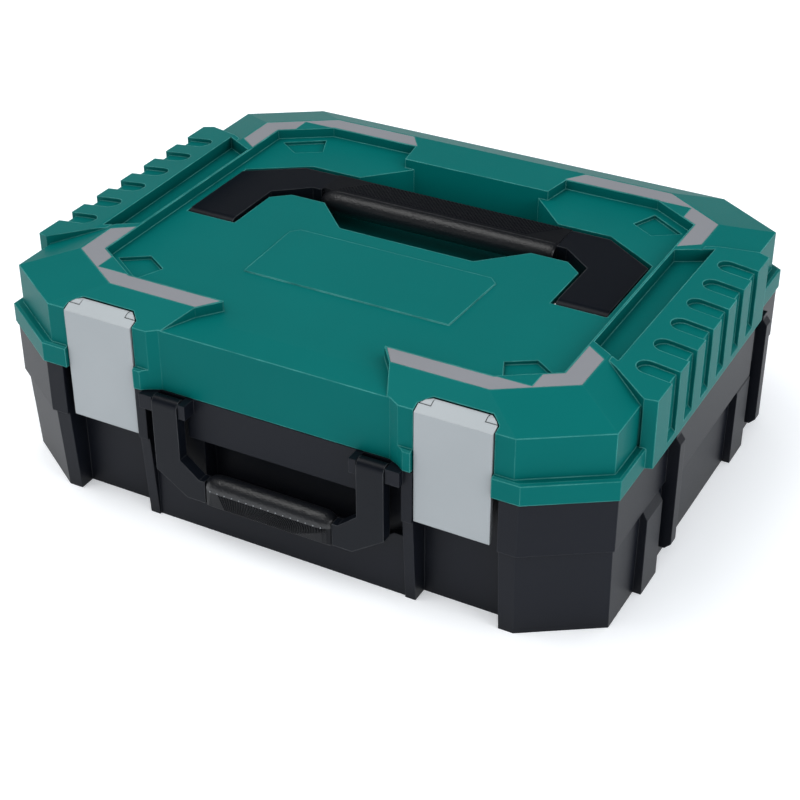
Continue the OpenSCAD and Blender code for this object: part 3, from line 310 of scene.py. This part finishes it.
# ---- Latches ----
# Two plates of pale grey nylon that hook under the lower shell. Each hangs on a steel pin between the
# two lugs of a bracket that is fixed in the lid.
latch_plastic = moulded_plastic("latch_plastic", colour=(0.42, 0.45, 0.465), edge_wear_and_highlight=(0.72, 0.74, 0.75),
                                roughness=0.4, grain=0.0005, grain_depth=0.00003, edge=0.0008)
dress(latch_plastic, "latch_left", "latch_right", "latch_bracket_left", "latch_bracket_right")


def machined_metal(name, colour, roughness, scratch_depth):
    """Bright metal with fine turning marks and slight smears."""
    smear_scale = 90.0
    scratch_scale = 2500.0
    edge = 0.0004
    made = bpy.data.materials.new(name)
    made.use_nodes = True
    tree = made.node_tree
    shader = tree.nodes["Principled BSDF"]
    shader.inputs["Metallic"].default_value = 1.0
    place = tree.nodes.new("ShaderNodeTexCoord")
    smear = mottle(tree, place, smear_scale, 5.0)
    tone = tree.nodes.new("ShaderNodeMix")
    tone.data_type = "RGBA"
    tone.inputs["A"].default_value = (*[c * 0.9 for c in colour], 1.0)
    tone.inputs["B"].default_value = (*colour, 1.0)
    tree.links.new(smear.outputs["Fac"], tone.inputs["Factor"])
    tree.links.new(tone.outputs["Result"], shader.inputs["Base Color"])
    gloss = stretched(tree, smear.outputs["Fac"], 0.0, 1.0, roughness * 0.7, roughness * 1.3)
    tree.links.new(gloss, shader.inputs["Roughness"])
    scratches = mottle(tree, place, scratch_scale, 2.0)
    normal = rough_skin(tree, scratches.outputs["Fac"], scratch_depth, rounded_edges(tree, edge, 4))
    tree.links.new(normal, shader.inputs["Normal"])
    return made


steel_pin = machined_metal("steel_pin", colour=(0.55, 0.56, 0.58), roughness=0.35, scratch_depth=0.00001)
dress(steel_pin, "latch_pin_left", "latch_pin_right")

# ---- Rear hinges ----
# Two steel rods join the knuckles at the back of the lower shell to the ears of the lid. They are
# driven in from the side and held by their tight fit.
dress(steel_pin, "rear_hinge_pin_left", "rear_hinge_pin_right")

# ---- Top handle ----
# A flat black frame that folds flush into the lid on two steel pins. Its rubber grip is a grained roll
# in front of a flat strip with a fine diamond knurl. The roll narrows towards its left end.
# The pale lines along the frame's edges and creases are partly wear and partly painted highlight.
handle_plastic = moulded_plastic("handle_plastic", colour=(0.005, 0.0066, 0.0104), edge_wear_and_highlight=(0.17, 0.18, 0.19),
                                 roughness=0.32, grain=0.0006, grain_depth=0.00005, edge=0.0009,
                                 edge_wear_and_highlight_share=0.7, shine=0.14)
handle_grip = moulded_plastic("handle_grip", colour=(0.006, 0.007, 0.0095), edge_wear_and_highlight=(0.05, 0.055, 0.06),
                              roughness=0.34, grain=0.0015, grain_depth=0.0003, edge=0.0005,
                              edge_wear_and_highlight_share=0.15, shine=0.6)
# The knurled strip, the hatch and the flat faces of both grips use a darker, duller copy of the grip rubber:
# its darker colour is painted shade.
shaded_knurl_rubber = moulded_plastic("shaded_knurl_rubber", colour=(0.0045, 0.0055, 0.0078), edge_wear_and_highlight=(0.05, 0.055, 0.06),
                               roughness=0.4, grain=0.0011, grain_depth=0.00008, edge=0.0004,
                               edge_wear_and_highlight_share=0.15, shine=0.16)
dress(handle_plastic, "top_handle_frame")
dress(steel_pin, "top_handle_pin_left", "top_handle_pin_right")


def lofted(name, rings, flat_finish, round_finish, smooth):
    """Closed skin through rings of equal length, each a list of points. smooth: which strips are round."""
    count = len(rings[0])
    points = [p for ring in rings for p in ring]
    faces = [list(range(count))]
    faces.append([len(points) - 1 - i for i in range(count)])
    rounds = []
    for k in range(len(rings) - 1):
        for i in range(count):
            j = (i + 1) % count
            faces.append([k * count + j, k * count + i, (k + 1) * count + i, (k + 1) * count + j])
            if i in smooth:
                rounds.append(len(faces) - 1)
    mesh = bpy.data.meshes.new(name)
    mesh.from_pydata(points, [], faces)
    body = bmesh.new()
    body.from_mesh(mesh)
    bmesh.ops.recalc_face_normals(body, faces=body.faces)
    body.to_mesh(mesh)
    body.free()
    mesh.materials.append(flat_finish)
    mesh.materials.append(round_finish)
    for k in rounds:
        mesh.polygons[k].use_smooth = True
        mesh.polygons[k].material_index = 1
    made = bpy.data.objects.new(name, mesh)
    scene.collection.objects.link(made)
    return made


def stud_tree():
    """Node group that adds a leaning grid of small pointed studs to a body."""
    tree = bpy.data.node_groups.new("studs", "GeometryNodeTree")
    face = tree.interface
    face.new_socket(name="Geometry", in_out="INPUT", socket_type="NodeSocketGeometry")
    for label in ("Length", "Depth", "Lean", "Taper", "Radius", "Height"):
        face.new_socket(name=label, in_out="INPUT", socket_type="NodeSocketFloat")
    for label in ("Columns", "Rows", "Sides", "Seed"):
        face.new_socket(name=label, in_out="INPUT", socket_type="NodeSocketInt")
    for label in ("Centre", "Turn"):
        face.new_socket(name=label, in_out="INPUT", socket_type="NodeSocketVector")
    face.new_socket(name="Finish", in_out="INPUT", socket_type="NodeSocketMaterial")
    face.new_socket(name="Geometry", in_out="OUTPUT", socket_type="NodeSocketGeometry")
    given = tree.nodes.new("NodeGroupInput")
    result = tree.nodes.new("NodeGroupOutput")

    grid = tree.nodes.new("GeometryNodeMeshGrid")
    tree.links.new(given.outputs["Length"], grid.inputs["Size X"])
    tree.links.new(given.outputs["Depth"], grid.inputs["Size Y"])
    tree.links.new(given.outputs["Columns"], grid.inputs["Vertices X"])
    tree.links.new(given.outputs["Rows"], grid.inputs["Vertices Y"])
    spot = tree.nodes.new("GeometryNodeInputPosition")
    parts = tree.nodes.new("ShaderNodeSeparateXYZ")
    tree.links.new(spot.outputs[0], parts.inputs[0])
    row = arithmetic(tree, "DIVIDE", parts.outputs["Y"], given.outputs["Depth"])
    below = arithmetic(tree, "SUBTRACT", row, 0.5)
    narrow = arithmetic(tree, "MULTIPLY_ADD", below, given.outputs["Taper"], 1.0)
    along = arithmetic(tree, "MULTIPLY", parts.outputs["X"], narrow)
    leaned = arithmetic(tree, "MULTIPLY_ADD", parts.outputs["Y"], given.outputs["Lean"], along)
    moved = tree.nodes.new("ShaderNodeCombineXYZ")
    tree.links.new(leaned, moved.inputs["X"])
    tree.links.new(parts.outputs["Y"], moved.inputs["Y"])
    shift = tree.nodes.new("GeometryNodeSetPosition")
    tree.links.new(grid.outputs["Mesh"], shift.inputs["Geometry"])
    tree.links.new(moved.outputs[0], shift.inputs["Position"])

    stud = tree.nodes.new("GeometryNodeMeshCone")
    stud.inputs["Radius Top"].default_value = 0.0
    tree.links.new(given.outputs["Sides"], stud.inputs["Vertices"])
    tree.links.new(given.outputs["Radius"], stud.inputs["Radius Bottom"])
    tree.links.new(given.outputs["Height"], stud.inputs["Depth"])
    uneven = tree.nodes.new("FunctionNodeRandomValue")
    uneven.inputs[2].default_value = 0.92
    uneven.inputs[3].default_value = 1.0
    tree.links.new(given.outputs["Seed"], uneven.inputs["Seed"])
    spread = tree.nodes.new("GeometryNodeInstanceOnPoints")
    tree.links.new(shift.outputs["Geometry"], spread.inputs["Points"])
    tree.links.new(stud.outputs["Mesh"], spread.inputs["Instance"])
    tree.links.new(uneven.outputs[1], spread.inputs["Scale"])
    laid = tree.nodes.new("GeometryNodeTransform")
    tree.links.new(spread.outputs["Instances"], laid.inputs["Geometry"])
    tree.links.new(given.outputs["Centre"], laid.inputs["Translation"])
    tree.links.new(given.outputs["Turn"], laid.inputs["Rotation"])

    real = tree.nodes.new("GeometryNodeRealizeInstances")
    tree.links.new(laid.outputs["Geometry"], real.inputs["Geometry"])
    painted = tree.nodes.new("GeometryNodeSetMaterial")
    tree.links.new(real.outputs["Geometry"], painted.inputs["Geometry"])
    tree.links.new(given.outputs["Finish"], painted.inputs["Material"])
    both = tree.nodes.new("GeometryNodeJoinGeometry")
    tree.links.new(given.outputs["Geometry"], both.inputs[0])
    tree.links.new(painted.outputs["Geometry"], both.inputs[0])
    tree.links.new(both.outputs[0], result.inputs[0])
    return tree


studs = stud_tree()


def studded(body, **values):
    """Adds one grid of studs to a body and bakes it into the body's mesh."""
    worker = body.modifiers.new("studs", "NODES")
    worker.node_group = studs
    for item in studs.interface.items_tree:
        if item.in_out == "INPUT" and item.name in values:
            worker[item.identifier] = values[item.name]
    bpy.context.view_layer.update()
    baked = bpy.data.meshes.new_from_object(body.evaluated_get(bpy.context.evaluated_depsgraph_get()))
    body.modifiers.remove(worker)
    body.data = baked


grip_low, grip_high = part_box("top_handle_grip")
arc = 22
roll_radius = 0.0085
roll_y = grip_low.y + roll_radius
roll_z = grip_high.z - roll_radius
roll_tuck = 0.001
strip_drop = 0.0004
strip_depth = 0.0133
strip_heel = 0.003
chamfer_in = 0.0015
chamfer_down = 0.0014
strip_z = grip_high.z - strip_drop
strip_low = grip_high.z - strip_depth
# Distance in from each end, and the roll's radius there as a share of its full one
left_taper = [(0.0, 0.25), (0.001, 0.45), (0.003, 0.65), (0.006, 0.82), (0.010, 0.94), (0.016, 1.0)]
right_step = [(0.005, 1.0), (0.002, 0.97), (0.0006, 0.92), (0.0, 0.84)]
roll_stations = [(grip_low.x + d, k) for d, k in left_taper] + [(grip_high.x - d, k) for d, k in right_step]
roll_rings = []
for x, k in roll_stations:
    ring = [(x, grip_high.y - strip_heel, strip_low), (x, grip_high.y, strip_low + strip_heel),
            (x, grip_high.y, strip_z - chamfer_down), (x, grip_high.y - chamfer_in, strip_z),
            (x, roll_y + roll_tuck, strip_z)]
    strip_points = len(ring)
    for i in range(arc + 1):
        a = math.pi * (0.5 + i / arc)
        ring.append((x, roll_y + roll_radius * k * math.cos(a), roll_z + roll_radius * k * math.sin(a)))
    roll_rings.append(ring)
top_grip = lofted("top_grip_skin", roll_rings, shaded_knurl_rubber, handle_grip,
                  set(range(strip_points, strip_points + arc)))
knurl_length = 0.143
knurl_depth = 0.018
knurl_x = 0.002
knurl_in = 0.0115
diamond_radius = 0.00145
diamond_height = 0.0006
studded(top_grip, Length=knurl_length, Depth=knurl_depth, Lean=1.0, Taper=0.0, Radius=diamond_radius,
        Height=diamond_height, Columns=48, Rows=13, Sides=4, Seed=3,
        Centre=(knurl_x, grip_high.y - knurl_in, strip_z), Finish=shaded_knurl_rubber)
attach(top_grip, "top_handle")
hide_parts("top_handle_grip")

# ---- Front handle ----
# A frame of the same black plastic that hangs in its bay on two steel pins. Its grip is rubber, with a
# grained round top that narrows towards both ends, a row of small studs below it painted pale as glints,
# and a hatched lower face that leans back to the handle's lower edge.
dress(handle_plastic, "front_handle_frame")
dress(steel_pin, "front_handle_pin_left", "front_handle_pin_right")
# Painted highlight: the studs of the dot row are pale grey to stand for glints.
painted_glint_dot = moulded_plastic("painted_glint_dot", colour=(0.30, 0.32, 0.34), edge_wear_and_highlight=(0.4, 0.4, 0.4),
                             roughness=0.3, grain=0.0005, grain_depth=0.00001, edge=0.0001)
front_low, front_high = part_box("front_handle_grip")
cap_radius = 0.008
cap_y = front_low.y + cap_radius
cap_z = front_high.z - cap_radius
toe = 0.006
toe_round = 0.001
sole_front = 0.005
sole_step = 0.0005
sole_back = 0.004
cap_taper = [(0.0, 0.5), (0.001, 0.66), (0.003, 0.84), (0.006, 0.96), (0.011, 1.0)]
cap_stations = [(front_low.x + d, k) for d, k in cap_taper]
cap_stations += [(front_high.x - d, k) for d, k in reversed(cap_taper)]
cap_rings = []
for x, k in cap_stations:
    reach = cap_radius * k
    ring = []
    for i in range(arc + 1):
        a = math.pi * i / arc
        ring.append((x, cap_y + reach * math.cos(a), cap_z + reach * math.sin(a)))
    ring.append((x, cap_y - min(toe, reach), front_low.z + toe_round))
    ring.append((x, cap_y - min(sole_front, reach - sole_step), front_low.z))
    ring.append((x, cap_y + min(sole_back, reach), front_low.z))
    cap_rings.append(ring)
front_grip = lofted("front_grip_skin", cap_rings, shaded_knurl_rubber, handle_grip, set(range(arc)))
face_lean = math.atan2(cap_radius - toe, cap_z - front_low.z - toe_round)
hatch_length = 0.078
hatch_height = 0.0105
hatch_out = 0.0072
hatch_up = 0.0068
hatch_radius = 0.00095
hatch_relief = 0.0005
studded(front_grip, Length=hatch_length, Depth=hatch_height, Lean=1.0, Taper=0.34, Radius=hatch_radius,
        Height=hatch_relief, Columns=40, Rows=12, Sides=4, Seed=5,
        Centre=(0.0, cap_y - hatch_out, front_low.z + hatch_up),
        Turn=(math.pi / 2 + face_lean, 0.0, 0.0), Finish=shaded_knurl_rubber)
dot_row_length = 0.08
dot_radius = 0.0005
dot_height = 0.0008
dot_up = 0.0008
thin_row = 0.0001
studded(front_grip, Length=dot_row_length, Depth=thin_row, Lean=0.0, Taper=0.0, Radius=dot_radius,
        Height=dot_height, Columns=16, Rows=1, Sides=8, Seed=7,
        Centre=(0.0, cap_y - cap_radius, cap_z + dot_up),
        Turn=(math.pi / 2, 0.0, 0.0), Finish=painted_glint_dot)
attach(front_grip, "front_handle")
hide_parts("front_handle_grip")

# ---- Tool tray ----
# A vacuum-formed insert in matt black plastic with a pocket for each tool. It drops into the lower
# shell, where its skirt stands on the floor.
tray_plastic = moulded_plastic("tray_plastic", colour=(0.02, 0.021, 0.023), edge_wear_and_highlight=(0.08, 0.08, 0.08),
                               roughness=0.6, grain=0.0009, grain_depth=0.00006, edge=0.0009)
dress(tray_plastic, "tool_tray")

# ---- Ratchet ----
# Forged, chromed body, cover and reversing lever. The toothed drive and its pawl in the head, the
# screws and the release button are satin steel. The grip is green rubber moulded over the handle.
chrome = machined_metal("chrome", colour=(0.75, 0.76, 0.78), roughness=0.18, scratch_depth=0.000004)
tool_steel = machined_metal("tool_steel", colour=(0.6, 0.61, 0.63), roughness=0.3, scratch_depth=0.000008)
tool_grip = moulded_plastic("tool_grip", colour=(0.004, 0.12, 0.10), edge_wear_and_highlight=(0.1, 0.3, 0.27),
                            roughness=0.5, grain=0.0006, grain_depth=0.00005, edge=0.0006)
dress(chrome, "ratchet_body", "ratchet_cover", "ratchet_lever")
dress(tool_steel, "ratchet_cover_screws", "ratchet_drive", "ratchet_pawl", "ratchet_release_button")
dress(tool_grip, "ratchet_grip")

# ---- Bars and spinner ----
# Two extension bars, the tee bar with its sliding head and the spinner's shaft are turned and chromed
# steel. The spinner's grip is the same green rubber as the ratchet's.
dress(chrome, "extension_bar_long", "extension_bar_short", "tee_bar", "tee_bar_head", "spinner_shaft")
dress(tool_grip, "spinner_grip")

# ---- Sockets ----
# Forged, chromed steel sockets of graded sizes, some of them deep. They stand in the tray with their
# open ends up.
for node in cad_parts:
    if node.startswith(("socket_", "deep_socket_")):
        dress(chrome, node)
